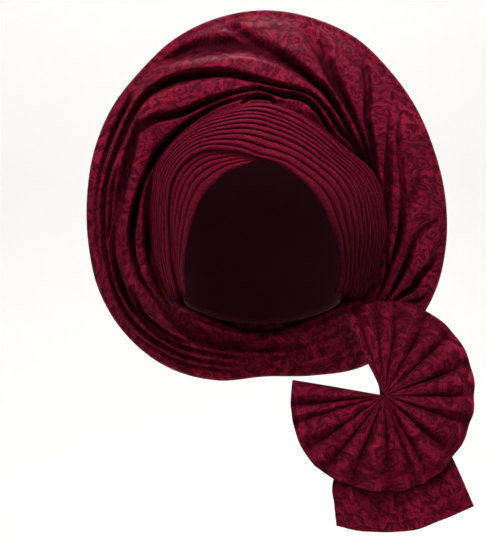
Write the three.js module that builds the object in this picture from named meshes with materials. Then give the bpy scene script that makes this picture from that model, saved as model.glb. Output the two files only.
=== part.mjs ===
// A tied gele head tie in wine damask, as it keeps its form when worn: a close head wrap, two crossing
// sets of brow pleats, a large round halo of draped folds, and a pleated fan with a flared tail.
// Millimetres, +Z up. The front looks along -Y and +X is the wearer's left. The origin is the inside
// of the crown, where the wrap sits on top of the head, midway between forehead and back of head.
import * as THREE from 'three';

// Driving dimensions.
const cloth = 1.6; // two layers of stiffened damask
const wrapCloth = 2; // the inner wrap, cloth on buckram
const head = { halfWidth: 78, halfDepth: 99, widestZ: -100, napeZ: -185, crownPower: 2.7, napeTaper: 0.25 };
const discCentre = { x: 4, z: -49 }; // the point that the halo's angles and radii are measured from
const attach = { topY: -44, topZ: -3, bottomY: 72, bottomZ: -172 }; // slanting line where the halo joins the wrap
const attachOff = 3.5; // from the head to the halo's edge at that line
const backBehind = 14; // how far behind the halo's front edge its back joins the wrap
const fan = { x: 114, z: -236, frontY: -36, lean: 0.36, pleats: 17, startAngle: 116, sweep: 305 };
const wine = 0x7a1026;
const deepWine = 0x5a0b1c;

const rad = THREE.MathUtils.degToRad;
const mix = THREE.MathUtils.lerp;
const smooth = (t) => THREE.MathUtils.smoothstep(t, 0, 1);

// A smooth curve through one column of a table, read at any place along its first column.
function column(rows, place, name) {
  const spline = new THREE.CubicInterpolant(rows.map((r) => r[place]), rows.map((r) => r[name]), 1);
  return (at) => spline.evaluate(at)[0];
}

// The table again with named columns, and once round more on each side where it describes a ring.
function table(names, rows, turn = 0) {
  const named = rows.map((r) => Object.fromEntries(names.map((n, i) => [n, r[i]])));
  if (!turn) return named;
  const shifted = (by) => named.map((r) => ({ ...r, [names[0]]: r[names[0]] + by }));
  return [...shifted(-turn), ...named, ...shifted(turn)];
}

// A closed wall of cloth: the grid of points is its shown face, and the wall lies behind it.
// Points that coincide are one, so a row may shrink to a pole and the last row may meet the first.
function clothWall(name, grid, thickness, colour, { flip = false } = {}) {
  const points = [];
  const seen = new Map();
  const index = grid.map((row) => row.map((p) => {
    const key = [p.x, p.y, p.z].map((c) => Math.round(c * 100)).join();
    if (!seen.has(key)) {
      seen.set(key, points.length);
      points.push(p);
    }
    return seen.get(key);
  }));
  const columns = grid[0].length;
  const faces = [];
  for (let i = 0; i < grid.length - 1; i++) {
    for (let j = 0; j < columns - 1; j++) {
      const [a, b, c, d] = [index[i][j], index[i][j + 1], index[i + 1][j + 1], index[i + 1][j]];
      const shortAC = points[a].distanceTo(points[c]) <= points[b].distanceTo(points[d]);
      const pair = shortAC ? [[a, b, c], [a, c, d]] : [[a, b, d], [b, c, d]];
      for (const f of pair) {
        if (f[0] !== f[1] && f[1] !== f[2] && f[2] !== f[0]) faces.push(flip ? [f[0], f[2], f[1]] : f);
      }
    }
  }
  const normals = points.map(() => new THREE.Vector3());
  for (const [a, b, c] of faces) {
    const u = points[b].clone().sub(points[a]);
    const across = u.cross(points[c].clone().sub(points[a]));
    for (const i of [a, b, c]) normals[i].add(across);
  }
  const behind = points.map((p, i) => p.clone().addScaledVector(normals[i].normalize(), -thickness));
  const n = points.length;
  const all = [];
  const edges = new Map();
  for (const [a, b, c] of faces) {
    all.push(a, b, c, a + n, c + n, b + n);
    for (const [p, q] of [[a, b], [b, c], [c, a]]) {
      if (!edges.delete(`${q},${p}`)) edges.set(`${p},${q}`, [p, q]);
    }
  }
  for (const [p, q] of edges.values()) all.push(q, p, p + n, q, p + n, q + n);
  const geometry = new THREE.BufferGeometry();
  geometry.setAttribute('position', new THREE.Float32BufferAttribute(
    [...points, ...behind].flatMap((p) => [p.x, p.y, p.z]), 3));
  geometry.setIndex(all);
  geometry.computeVertexNormals();
  const material = new THREE.MeshStandardMaterial({ color: colour, roughness: 0.5, metalness: 0, name });
  const mesh = new THREE.Mesh(geometry, material);
  mesh.name = name;
  return mesh;
}

// How wide the head is at a height, as a share of its widest section, for a head grown by that much.
function headShare(z, grow) {
  if (z > head.widestZ) {
    const up = Math.min(1, (z - head.widestZ) / (grow - head.widestZ));
    return (1 - up ** head.crownPower) ** (1 / head.crownPower);
  }
  return 1 - head.napeTaper * ((head.widestZ - z) / (head.widestZ - head.napeZ)) ** 2;
}

const headSection = (z, grow) => [
  (head.halfWidth + grow) * headShare(z, grow), (head.halfDepth + grow) * headShare(z, grow)];

// The depth of the head's front at a place in the front view.
function headFront(x, z, grow) {
  const [a, b] = headSection(z, grow);
  return -b * Math.sqrt(Math.max(0, 1 - (x / a) ** 2));
}

const inHead = (p, grow) => {
  const [a, b] = headSection(p.z, grow);
  return p.z < grow && (p.x / a) ** 2 + (p.y / b) ** 2 < 1;
};

// Brow pleats: a row for each section from the wearer's left ear, over the forehead, to the right ear.
// face: the edge on the forehead. outer: the far edge under the halo. over: the share of the section's
// width at which the crossing set's own edge lies.
const browSections = table(
  ['at', 'faceX', 'faceZ', 'outerX', 'outerZ', 'outerY', 'over'], [
    [0, 67, -142, 98, -152, 16, 0],
    [1, 71, -126, 106, -134, 10, 0],
    [2, 70, -110, 113, -113, 5, 0],
    [3, 66, -93, 117, -91, 0, 0],
    [4, 60, -79, 115, -68, -5, 0],
    [5, 53, -63, 111, -46, -12, 0],
    [6, 41, -48, 99, -27, -18, 0],
    [7, 27, -36, 80, -10, -30, 0],
    [8, 12, -27, 53, 11, -46, 0],
    [9, -3, -22, 24, 26, -58, 0],
    [10, -16, -26.5, -5, 31, -62, 0.17],
    [11, -30, -32, -36, 24, -58, 0.32],
    [12, -43, -42, -66, 11, -47, 0.49],
    [13, -53, -52, -88, -7, -34, 0.48],
    [14, -60, -66, -101, -27, -22, 0.47],
    [15, -66, -84, -105, -52, -13, 0.45],
    [16, -70, -103, -105, -78, -5, 0.36],
    [17, -72, -121, -103, -106, 3, 0.27],
    [18, -71, -138, -94, -133, 10, 0.24],
    [19, -69, -146, -86, -152, 16, 0.24],
  ]);
const browNames = ['faceX', 'faceZ', 'outerX', 'outerZ', 'outerY', 'over'];
const brow = Object.fromEntries(browNames.map((n) => [n, column(browSections, 'at', n)]));
const browEnd = 19; // the last section
const peakAt = 9; // the section where the two sets cross
const browOff = wrapCloth + cloth; // from the head to the band's shown face
const browBulge = 4; // how far the band swells between its edges
const crossLift = 4.2; // how far the over set stands off where the under set runs beneath it
const pleatStep = 2.2; // how far a pleat's folded edge stands off the next one
const pleatSides = [{ share: 0.06, lift: pleatStep }, { share: 0.94, lift: 0 }]; // its folded edge and its far side
const templeX = 60; // between the temples the band stays off the head at every point
const underFrom = 8.2; // the section where the under set starts, beneath the over set
const underTuck = 0.09; // share of the band's width that the under set runs in beneath the over set

// A point of the brow band: at along it, across from the face edge (0) to the outer edge (1), lifted off it.
function browPoint(at, across, lift) {
  const x = mix(brow.faceX(at), brow.outerX(at), across);
  const z = mix(brow.faceZ(at), brow.outerZ(at), across);
  const onHead = headFront(brow.faceX(at), brow.faceZ(at), browOff);
  const y = mix(onHead, brow.outerY(at), across) - browBulge * Math.sin(Math.PI * across);
  const clear = Math.abs(x) < templeX ? headFront(x, z, browOff) : 0;
  const section = new THREE.Vector3(
    brow.outerX(at) - brow.faceX(at), brow.outerY(at) - onHead, brow.outerZ(at) - brow.faceZ(at)).normalize();
  const outward = new THREE.Vector3(0, -1, 0).addScaledVector(section, section.y).normalize();
  return new THREE.Vector3(x, Math.min(y, clear), z).addScaledVector(outward, lift);
}

// The over set runs from ear to ear and crosses over the under set left of the peak.
function browPleatsOver() {
  const pleatEdges = [0, 0.09, 0.21, 0.33, 0.44, 0.54, 0.64, 0.73, 0.82, 0.91, 1];
  const steps = 34;
  const grid = [];
  for (let i = 0; i <= steps; i++) {
    const at = (browEnd * i) / steps;
    const under = Math.max(0, brow.over(at));
    const crossing = crossLift * smooth((at - peakAt + 2.8) / 2);
    const row = [];
    for (let k = 0; k < pleatEdges.length - 1; k++) {
      for (const { share, lift } of pleatSides) {
        const within = mix(pleatEdges[k], pleatEdges[k + 1], share);
        row.push(browPoint(at, mix(under, 1, within), lift + crossing * (1 - within)));
      }
    }
    grid.push(row);
  }
  return clothWall('brow_pleats_over', grid, cloth, wine);
}

// The under set lies on the wearer's right temple and runs in beneath the over set.
function browPleatsUnder() {
  const pleatEdges = [0, 0.31, 0.58, 0.81, 1];
  const steps = 22;
  const [flatter, hiddenLift] = [0.6, -0.2];
  const grid = [];
  for (let i = 0; i <= steps; i++) {
    const at = mix(underFrom, browEnd, i / steps);
    const tucked = underTuck + Math.max(0, brow.over(at));
    const hidden = smooth((peakAt + 1.2 - at) / 1.5);
    const row = [];
    for (let k = 0; k < pleatEdges.length - 1; k++) {
      for (const { share, lift } of pleatSides) {
        const across = tucked * mix(pleatEdges[k], pleatEdges[k + 1], share);
        row.push(browPoint(at, across, mix(flatter * lift, hiddenLift, hidden)));
      }
    }
    grid.push(row);
  }
  return clothWall('brow_pleats_under', grid, cloth, wine);
}

// The head wrap: from the crown down to the face edge at the front and to the nape behind.
function headWrap() {
  const hem = column(table(['azimuth', 'z'], [
    [0, -148], [60, -148], [75, -148], [90, -152], [120, -162], [150, -172], [180, -176], [240, -176]]), 'azimuth', 'z');
  const behindEdge = 3.2; // the wrap stops this far short of the pleats' edge on the forehead
  const sideAzimuth = 88; // further round than this, the hem alone ends the wrap
  const inFace = (x, z) => {
    let nearest = Infinity;
    for (let at = 0; at <= browEnd; at += 0.1) {
      nearest = Math.min(nearest, Math.hypot(x - brow.faceX(at), z - brow.faceZ(at)));
    }
    return nearest < behindEdge;
  };
  const wrapPoint = (azimuth, z) => {
    const [a, b] = headSection(z, wrapCloth);
    return new THREE.Vector3(a * Math.sin(azimuth), -b * Math.cos(azimuth), z);
  };
  const [around, down] = [36, 8];
  const grid = [];
  for (let j = 0; j < around; j++) {
    const turn = (360 * j) / around;
    const away = turn > 180 ? 360 - turn : turn;
    const azimuth = rad(turn);
    let lowest = hem(away);
    for (let z = -4; z > lowest && away < sideAzimuth; z -= 0.5) {
      const p = wrapPoint(azimuth, z);
      if (inFace(p.x, p.z)) lowest = z;
    }
    grid.push(Array.from({ length: down + 1 }, (_, i) => {
      const z = mix(wrapCloth, lowest, (i / down) ** 2.2); // closer together near the crown
      return i === 0 ? new THREE.Vector3(0, 0, wrapCloth) : wrapPoint(azimuth, z);
    }));
  }
  grid.push(grid[0]);
  return clothWall('head_wrap', grid, wrapCloth, deepWine);
}

// The halo: a row for each section by its angle in the front view (0 at +X, 90 at the top).
// rim: the outer edge. inner: the valley beside the brow band. crest: depth of the first roll beside it.
const haloSections = table(
  ['angle', 'rimR', 'rimY', 'innerR', 'innerY', 'crestY'], [
    [-90, 180, 78, 137, 78, 72],
    [-75, 185, 73, 133, 70, 65],
    [-60, 195, 60, 133, 52, 46],
    [-45, 196, 43, 139, 24, 17],
    [-30, 191, 30, 128, 14, 5],
    [-15, 182, 21, 117, 5, -6],
    [0, 174, 15, 108, -2, -12],
    [15, 169, 13, 98, -9, -20],
    [30, 168.5, 12, 84, -26, -35],
    [45, 170, 10, 80, -37, -45],
    [60, 175, 9, 78, -45, -51],
    [75, 177, 8.5, 77, -50, -54],
    [90, 178.5, 8, 80, -52, -55],
    [105, 177.5, 8.5, 81.5, -53, -55],
    [120, 175, 9, 84, -51, -53],
    [135, 171, 10.5, 91, -43, -47],
    [150, 171.5, 12, 99, -32, -37],
    [165, 172, 14, 108, -18, -27],
    [180, 173.5, 16, 110, -8, -19],
    [195, 179, 22, 113, 0, -11],
    [210, 188, 32, 125, 9, 1],
    [225, 194, 45, 138, 22, 16],
    [240, 195.5, 60, 136, 52, 45],
    [255, 190, 73, 135, 72, 66],
  ], 360);
const halo = Object.fromEntries(['rimR', 'rimY', 'innerR', 'innerY', 'crestY'].map(
  (n) => [n, column(haloSections, 'angle', n)]));

// The valleys between the halo's folds. They start at the gathers above the fan, where they are close
// together, arch over the top and run down beside the rim. path: [angle, radius] in the front view.
const haloValleys = [
  { name: 'outer', depth: 16, halfWidth: 15, path: [[20, 97], [41, 100], [66, 114], [82, 122], [94, 142],
    [118, 157], [149, 157], [180, 162], [205, 174], [215, 179]] },
  { name: 'deep', depth: 24, halfWidth: 14, path: [[37, 90], [57, 103], [93, 110], [109, 123], [131, 147],
    [151, 148], [173, 149], [195, 158], [215, 166]] },
  { name: 'pocket', depth: 14, halfWidth: 9, path: [[50, 90], [71, 97], [105, 99], [140, 113], [166, 134], [185, 138]] },
  { name: 'inner', depth: 18, halfWidth: 9, path: [[106, 88], [128, 95], [148, 102], [176, 118], [199, 136],
    [210, 144]] },
  { name: 'upper', depth: 9, halfWidth: 12, path: [[84, 170], [64, 133], [36, 107], [7, 105]] },
  { name: 'side', depth: 11, halfWidth: 12, path: [[56, 170], [45, 139], [31, 117], [7, 106], [-22, 116], [-47, 138]] },
  { name: 'knot_1', depth: 14, halfWidth: 9, path: [[36, 160], [20, 122], [-3, 117], [-21, 123], [-41, 138]] },
  { name: 'knot_2', depth: 12, halfWidth: 9, path: [[-6, 134], [-19, 133], [-42, 145]] },
  { name: 'knot_3', depth: 10, halfWidth: 10, path: [[-8, 176], [-15, 152], [-26, 150], [-40, 154]] },
  { name: 'knot_4', depth: 9, halfWidth: 9, path: [[-20, 184], [-31, 168], [-39, 162]] },
  { name: 'lower', depth: 7, halfWidth: 9, path: [[198, 170], [214, 165], [236, 173], [248, 172]] },
].map((fold) => ({
  ...fold,
  line: new THREE.CatmullRomCurve3(fold.path.map(([a, r]) => onDisc(a, r, 0))).getPoints(40),
}));

function onDisc(angle, radius, y) {
  return new THREE.Vector3(
    discCentre.x + radius * Math.cos(rad(angle)), y, discCentre.z + radius * Math.sin(rad(angle)));
}

// How far the folds sink the cloth back at a place in the front view.
function valleyDepth(p) {
  let deepest = 0;
  for (const { depth, halfWidth, line } of haloValleys) {
    line.forEach((q, i) => {
      const off = Math.hypot(p.x - q.x, p.z - q.z) / halfWidth;
      const end = smooth(Math.min(i, line.length - 1 - i) / 6);
      if (off < 1) deepest = Math.max(deepest, depth * end * (1 - off * off) ** 2);
    });
  }
  return deepest;
}

// The point on the slanting line round the wrap where the halo starts, at an angle in the front view:
// the search goes outwards from inside the head.
function attachPoint(angle, further = 0) {
  const slope = (attach.bottomY - attach.topY) / (attach.bottomZ - attach.topZ);
  for (let radius = 30; ; radius += 0.25) {
    const p = onDisc(angle, radius, 0);
    p.y = attach.topY + slope * (p.z - attach.topZ) + further;
    if (!inHead(p, attachOff)) return p;
  }
}

function haloAngles() {
  const angles = [];
  for (let a = -90; a < 270 - 3; a += a > -56 && a < 60 ? 6 : 8) angles.push(a);
  return angles;
}

// The rolled rim, from its front to where it turns under behind: how far each line lies inside and
// behind the halo's outer edge.
const rimRoll = { frontUp: 7, turn: [{ in: 0, back: 0 }, { in: 1.5, back: 4.5 }, { in: 6, back: 7.5 }] };
const backEdge = { in: 4.2, back: 3.4 }; // where the halo's back starts, inside the roll
const backSeam = { in: 8.5, back: 5.4 };

function haloFront() {
  const [ringCount, lastRing] = [17, 0.95];
  const grid = haloAngles().map((angle) => {
    const [rimR, rimY, innerR, innerY, crestY] = ['rimR', 'rimY', 'innerR', 'innerY', 'crestY'].map(
      (n) => halo[n](angle));
    const row = [attachPoint(angle)];
    for (let i = 0; i < ringCount; i++) {
      const share = (lastRing * i) / (ringCount - 1);
      const tuck = Math.exp(-((share / 0.07) ** 2));
      const p = onDisc(angle, mix(innerR, rimR, share), 0);
      const sink = valleyDepth(p) * (1 - smooth((share - 0.86) / 0.14)) * smooth(share / 0.12);
      p.y = mix(crestY, rimY - rimRoll.frontUp, share ** 1.7) + (innerY - crestY) * tuck + sink;
      row.push(p);
    }
    for (const line of rimRoll.turn) row.push(onDisc(angle, rimR - line.in, rimY + line.back));
    return row;
  });
  return clothWall('halo_front', grid.concat([grid[0]]), cloth, wine);
}

// The back of the halo: a shallow cone from inside the rolled rim to the back of the wrap.
function haloBack() {
  const grid = haloAngles().map((angle, i) => {
    const rimR = halo.rimR(angle);
    const rimY = halo.rimY(angle);
    const edge = onDisc(angle, rimR - backEdge.in, rimY + backEdge.back);
    const seam = onDisc(angle, rimR - backSeam.in, rimY + backSeam.back);
    const inner = attachPoint(angle, backBehind);
    const swell = i % 2 ? 9 : 6; // soft pleats that run in to the wrap
    const row = [edge, seam];
    for (const share of [0.25, 0.5, 0.75, 1]) {
      const p = seam.clone().lerp(inner, share);
      p.y += swell * Math.sin(Math.PI * share);
      row.push(p);
    }
    return row;
  });
  return clothWall('halo_back', grid.concat([grid[0]]), cloth, deepWine);
}

// The fan: pleats round its centre, with a wedge left open toward the neck. radius: length of the rim.
const fanRim = column(table(['turned', 'radius'], [
  [0, 81], [30, 84], [66, 86], [90, 86], [120, 81], [150, 81], [180, 88], [220, 90], [258, 96], [285, 93], [305, 86]]),
'turned', 'radius');

function fanY(z) {
  return fan.frontY + fan.lean * (z - fan.z);
}

// How far a pleat stands above and below the fan's face. Toward the centre the pleats are so narrow
// that a wall as thick as the cloth lies nearly flat.
function pleatHeight(radius, ring) {
  const quarter = (radius * rad(fan.sweep)) / fan.pleats / 4;
  const steepest = Math.asin(Math.min(0.9, (0.8 * quarter) / cloth));
  return Math.min(1.2 + 3.6 * smooth(ring * 1.6), quarter * Math.tan(steepest));
}

function fanRosette() {
  const across = fan.pleats * 4;
  const rings = [0.06, 0.22, 0.5, 0.78, 1];
  const raised = 6; // how far the gathered centre stands forward
  const grid = rings.map((ring) => Array.from({ length: across + 1 }, (_, i) => {
    const turned = (fan.sweep * i) / across;
    const angle = rad(fan.startAngle - turned);
    const radius = fanRim(turned) * ring;
    const wave = Math.cos((2 * Math.PI * i * fan.pleats) / across - Math.PI);
    const x = fan.x + radius * Math.cos(angle);
    const z = fan.z + radius * Math.sin(angle);
    return new THREE.Vector3(x, fanY(z) - raised * (1 - ring) ** 2 - pleatHeight(radius, ring) * wave, z);
  }));
  return clothWall('fan_rosette', grid, cloth, wine);
}

// The tail: a sash from the gathers on the halo, down behind the fan, to a flared end below it.
// off: how far a section lies behind the fan's plane.
const tailSections = table(
  ['leftX', 'leftZ', 'rightX', 'rightZ', 'off'], [
    [96, -157, 128, -149, 20.6],
    [98, -178, 134, -174, 16],
    [100, -212, 140, -214, 8.3],
    [92, -245, 150, -247, 8.3],
    [78, -280, 164, -272, 8.3],
    [65, -316, 176, -296, 8.3],
    [66, -338, 185, -317, 8.3],
    [68, -357, 194, -338, 8.3],
  ]);
const tail = { frontY: -57, bow: 14, wave: 2.5, flaredFrom: 4 }; // frontY: no further forward than this

function fanTail() {
  const across = 12;
  const last = tailSections.length - 1;
  const grid = tailSections.map((row, i) => Array.from({ length: across + 1 }, (_, k) => {
    const share = k / across;
    const bow = i === last ? tail.bow * Math.sin(Math.PI * share) : 0;
    const x = mix(row.leftX, row.rightX, share);
    const z = mix(row.leftZ, row.rightZ, share) - bow;
    const wave = tail.wave * Math.cos(5 * Math.PI * share) * smooth((i - tail.flaredFrom) / 2);
    return new THREE.Vector3(x, Math.max(fanY(z) + row.off, tail.frontY) + wave, z);
  }));
  return clothWall('fan_tail', grid, cloth, wine, { flip: true });
}

const headTie = new THREE.Group();
headTie.add(headWrap(), browPleatsUnder(), browPleatsOver(), haloFront(), haloBack(), fanRosette(), fanTail());

export default headTie;
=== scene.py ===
# A tied gele head tie in wine damask, as it is worn: a close head wrap, two crossing sets of brow pleats,
# a large round halo of draped folds with its plain back, and a pleated fan with a flared tail.
# Tables hold millimetres, in the frame's own axes; layCloth turns them to metres.
import math

import bpy
import numpy as np
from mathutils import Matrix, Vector


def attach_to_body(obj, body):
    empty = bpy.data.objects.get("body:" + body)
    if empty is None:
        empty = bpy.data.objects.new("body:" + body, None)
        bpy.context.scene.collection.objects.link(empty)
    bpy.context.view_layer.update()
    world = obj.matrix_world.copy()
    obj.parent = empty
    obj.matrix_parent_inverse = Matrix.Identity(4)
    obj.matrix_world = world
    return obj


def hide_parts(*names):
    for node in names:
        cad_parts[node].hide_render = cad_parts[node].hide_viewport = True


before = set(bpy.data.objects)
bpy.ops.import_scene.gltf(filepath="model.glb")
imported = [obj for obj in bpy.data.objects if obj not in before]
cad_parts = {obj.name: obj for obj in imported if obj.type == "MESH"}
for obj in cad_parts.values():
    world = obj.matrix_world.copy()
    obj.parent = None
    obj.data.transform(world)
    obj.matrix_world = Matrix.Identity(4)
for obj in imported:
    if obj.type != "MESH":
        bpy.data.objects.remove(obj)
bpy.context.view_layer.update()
mm = 0.001


def smooth(t):
    t = np.clip(t, 0, 1)
    return t * t * (3 - 2 * t)


def mix(a, b, share):
    return a + (b - a) * share


def linear(code):  # an sRGB hex colour as Blender wants it
    channels = [int(code[i : i + 2], 16) / 255 for i in (1, 3, 5)]
    return [c / 12.92 if c <= 0.04045 else ((c + 0.055) / 1.055) ** 2.4 for c in channels] + [1.0]


def table(names, rows):
    return dict(zip(names, np.array(rows, float).T))


def read(rows, name, at):  # a smooth curve through one column, read along the table's first column
    places = next(iter(rows.values()))
    values = rows[name]
    slope = np.gradient(values, places)
    i = np.clip(np.searchsorted(places, at, side="right") - 1, 0, len(places) - 2)
    step = places[i + 1] - places[i]
    t = np.clip((at - places[i]) / step, 0, 1)
    start = (2 * t**3 - 3 * t**2 + 1) * values[i] + (t**3 - 2 * t**2 + t) * step * slope[i]
    return start + (3 * t**2 - 2 * t**3) * values[i + 1] + (t**3 - t**2) * step * slope[i + 1]


def readAll(rows, at):
    return {name: read(rows, name, at) for name in rows}


def arc(points, axis):  # length along the cloth from the first row or column
    steps = np.linalg.norm(np.diff(points, axis=axis), axis=2)
    start = np.zeros_like(np.take(steps, [0], axis=axis))
    return np.concatenate([start, np.cumsum(steps, axis=axis)], axis=axis)


def spread(across, points):  # where each vertex lies on the flat cloth, with the rows' own length down it
    return np.stack([np.broadcast_to(across, points.shape[:2]), arc(points, 0)], -1)


# A sheet of cloth is a grid whose vertices are laid out in its folds, with Solidify behind the shown
# side. flat is where each vertex lies on the cloth before it was tied, and becomes its UV map in metres.
# Each vertex also carries painted shade, from 0 to 1, mostly by how far in a fold it lies, which the
# material paints into its colour as darkening, and figure is how much of the cloth's large figure still
# shows. A piece that closes on itself is joined at its seam and pole, and one whose grid runs the other way
# round is turned to face outwards.
def layCloth(name, points, flat, paintedShade, thickness, joined=False, turned=False, figure=1.0):
    rows, columns = points.shape[:2]
    if joined:
        points[:, -1] = points[:, 0]
    bpy.ops.object.select_all(action="DESELECT")
    bpy.ops.mesh.primitive_grid_add(x_subdivisions=columns - 1, y_subdivisions=rows - 1, size=1)
    piece = bpy.context.active_object
    piece.name = name
    mesh = piece.data
    mesh.name = name
    mesh.vertices.foreach_set("co", (points * mm).astype("f").ravel())
    corners = np.empty(len(mesh.loops), "i")
    mesh.loops.foreach_get("vertex_index", corners)
    mesh.uv_layers.active.data.foreach_set("uv", (flat * mm).reshape(-1, 2)[corners].astype("f").ravel())
    for layer, values in (("paintedShade", paintedShade), ("figure", figure)):
        column = mesh.attributes.new(layer, "FLOAT", "POINT")
        column.data.foreach_set("value", np.broadcast_to(values, points.shape[:2]).astype("f").ravel())
    mesh.update()
    bpy.ops.object.mode_set(mode="EDIT")
    bpy.ops.mesh.select_all(action="SELECT")
    if joined:
        bpy.ops.mesh.remove_doubles(threshold=1e-6)
    if turned:
        bpy.ops.mesh.flip_normals()
    bpy.ops.object.mode_set(mode="OBJECT")
    wall = piece.modifiers.new("wall", "SOLIDIFY")
    wall.thickness = thickness * mm
    wall.offset = -1
    bpy.ops.object.modifier_apply(modifier="wall")
    bpy.ops.object.shade_smooth()
    triangles = sum(face.loop_total - 2 for face in mesh.polygons)
    area = sum(face.area for face in mesh.polygons) / 2
    print(f"{name}: {triangles} triangles, {area:.3f} m2 of cloth")
    return piece


# The rounded form that the cloth lies on, with half its width and depth where it is widest.
form = {
    "halfWidth": 78,
    "halfDepth": 99,
    "widestZ": -100,
    "napeZ": -185,
    "crownPower": 2.7,  # 2 is an ellipse, and more is fuller above the temples
    "napeTaper": 0.25,
}


def formSection(z, off):
    up = np.clip((z - form["widestZ"]) / (off - form["widestZ"]), 0, 1)
    down = np.clip((form["widestZ"] - z) / (form["widestZ"] - form["napeZ"]), 0, None)
    share = (1 - up ** form["crownPower"]) ** (1 / form["crownPower"]) - form["napeTaper"] * down**2
    return (form["halfWidth"] + off) * share, (form["halfDepth"] + off) * share


def formFront(x, z, off):
    halfWidth, halfDepth = formSection(z, off)
    inside = np.clip(1 - (x / np.maximum(halfWidth, 1e-6)) ** 2, 0, None)
    return -halfDepth * np.sqrt(inside)


def outsideForm(x, y, z, off):
    halfWidth, halfDepth = formSection(z, off)
    return (z > off) | ((x / np.maximum(halfWidth, 1e-6)) ** 2 + (y / np.maximum(halfDepth, 1e-6)) ** 2 > 1)


# Brow pleats: a row for each section from the wearer's left side, over the brow, to the right side.
# inner is the edge round the opening in front, outer the edge under the halo, and over the share of the
# width at which the crossing set's own edge lies. A place along the band is given by its section's number.
brow = {
    "thickness": 1.2,
    "end": 19,
    "off": 3.6,  # from the form to the shown side of the cloth
    "bulge": 4,  # of the band between its edges
    "lieOnForm": 60,  # as far out as this, the band lies no deeper than the form
    "overSteps": 320,
    "underSteps": 220,
    "perPleat": 12,
    "pleatHeight": 3.2,
    "pleatSteepness": 0.6,  # a narrow pleat stands this share of its width high
    "squareness": 3.2,  # more gives a flatter top, and a lower sideRound steeper sides
    "sideRound": 0.6,
    "foldedEdge": 0.25,  # how much higher a pleat stands at its folded edge, toward the opening
    "wobbles": [(0.10, 2.3, 1.9), (0.06, 5.1, 4.3)],  # share of the height, turn along, turn per pleat
    "hiddenPerPleat": 11,  # width of cloth folded away under each pleat
    "crossLift": 3.0,  # of the over set where it passes over the under set
    "crossFrom": 6.2,
    "crossOver": 2,
    "underFrom": 8.2,
    "underTuck": 0.09,  # share of the width by which the under set reaches beneath the over set
    "underHeight": 0.8,
    "hiddenTo": 10.2,  # as far along as this, the under set starts flat beneath the over set
    "hiddenOver": 1.5,
    "hiddenDepth": 0.2,
    # Painted shade down in the grooves between the pleats, and how closely it keeps to them.
    "grooveShade": 0.95,
    "groovePower": 6,
    # Painted shade on the band's sides, as if in the shade of its top, the right one more than the left,
    # and on its ends, as if in the halo's: how deep each painted shade is, where it starts and where it is
    # full.
    "shades": [(0.68, 7.5, 1.5), (0.12, 11, 18), (0.9, 1.2, 0), (0.9, 17.8, 19)],
    "figure": 0.2,  # the pleats are too narrow to show much of the damask's figure
}
browSections = table(
    ["at", "innerX", "innerZ", "outerX", "outerZ", "outerY", "over"],
    [
        [0, 67, -142, 98, -152, 16, 0],
        [1, 71, -126, 106, -134, 10, 0],
        [2, 70, -110, 113, -113, 5, 0],
        [3, 66, -93, 118, -91, 0, 0],
        [4, 60, -79, 117, -68, -5, 0],
        [5, 53, -63, 112, -45, -12, 0],
        [6, 41, -48, 100, -25, -18, 0],
        [7, 27, -36, 80, -10, -30, 0],
        [8, 12, -27, 53, 11, -46, 0],
        [9, -3, -22, 24, 26, -58, 0],
        [10, -16, -26.5, -5, 31, -62, 0.14],
        [11, -30, -32, -36, 24, -58, 0.30],
        [12, -43, -42, -66, 11, -47, 0.50],
        [13, -53, -52, -88, -7, -34, 0.56],
        [14, -60, -66, -101, -27, -22, 0.54],
        [15, -66, -84, -105, -52, -13, 0.49],
        [16, -70, -103, -105, -78, -5, 0.42],
        [17, -72, -121, -103, -106, 3, 0.34],
        [18, -71, -138, -94, -133, 10, 0.30],
        [19, -69, -146, -86, -152, 16, 0.30],
    ],
)
# Where the pleats' edges lie across the band, at a few of its sections.
overEdges = table(
    ["at"] + [f"edge{i}" for i in range(13)],
    [
        [0, 0, 0.14, 0.28, 0.40, 0.51, 0.61, 0.70, 0.78, 0.85, 0.90, 0.94, 0.97, 1],
        [2, 0, 0.11, 0.22, 0.32, 0.42, 0.51, 0.60, 0.68, 0.76, 0.83, 0.89, 0.95, 1],
        [4, 0, 0.13, 0.26, 0.37, 0.47, 0.55, 0.62, 0.69, 0.76, 0.82, 0.88, 0.94, 1],
        [6, 0, 0.14, 0.28, 0.40, 0.51, 0.59, 0.66, 0.72, 0.78, 0.83, 0.88, 0.94, 1],
        [9, 0, 0.05, 0.19, 0.33, 0.45, 0.55, 0.64, 0.72, 0.79, 0.89, 0.98, 0.99, 1],
        [12, 0, 0.16, 0.30, 0.43, 0.55, 0.66, 0.77, 0.87, 0.94, 0.97, 0.98, 0.99, 1],
        [14, 0, 0.17, 0.31, 0.45, 0.58, 0.70, 0.82, 0.92, 0.97, 0.98, 0.985, 0.99, 1],
        [19, 0, 0.20, 0.36, 0.50, 0.62, 0.73, 0.83, 0.92, 0.97, 0.98, 0.985, 0.99, 1],
    ],
)
underEdges = table(
    ["at"] + [f"edge{i}" for i in range(7)],
    [[8, 0, 0.22, 0.40, 0.57, 0.72, 0.86, 1], [19, 0, 0.24, 0.42, 0.58, 0.73, 0.87, 1]],
)


# A point of the band: at along it, across from the inner edge (0) to the outer edge (1), lifted off it.
def browPoint(at, across, lift):
    s = readAll(browSections, at)
    x = mix(s["innerX"], s["outerX"], across)
    z = mix(s["innerZ"], s["outerZ"], across)
    onForm = formFront(s["innerX"], s["innerZ"], brow["off"])
    y = mix(onForm, s["outerY"], across) - brow["bulge"] * np.sin(np.pi * across)
    y = np.where(np.abs(x) < brow["lieOnForm"], np.minimum(y, formFront(x, z, brow["off"])), y)
    section = np.stack([s["outerX"] - s["innerX"], s["outerY"] - onForm, s["outerZ"] - s["innerZ"]], -1)
    section /= np.linalg.norm(section, axis=-1, keepdims=True)
    outward = np.array([0, -1, 0]) + section * section[..., 1:2]
    outward /= np.linalg.norm(outward, axis=-1, keepdims=True)
    return np.stack([x, y, z], -1) + outward * lift[..., None]


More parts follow.
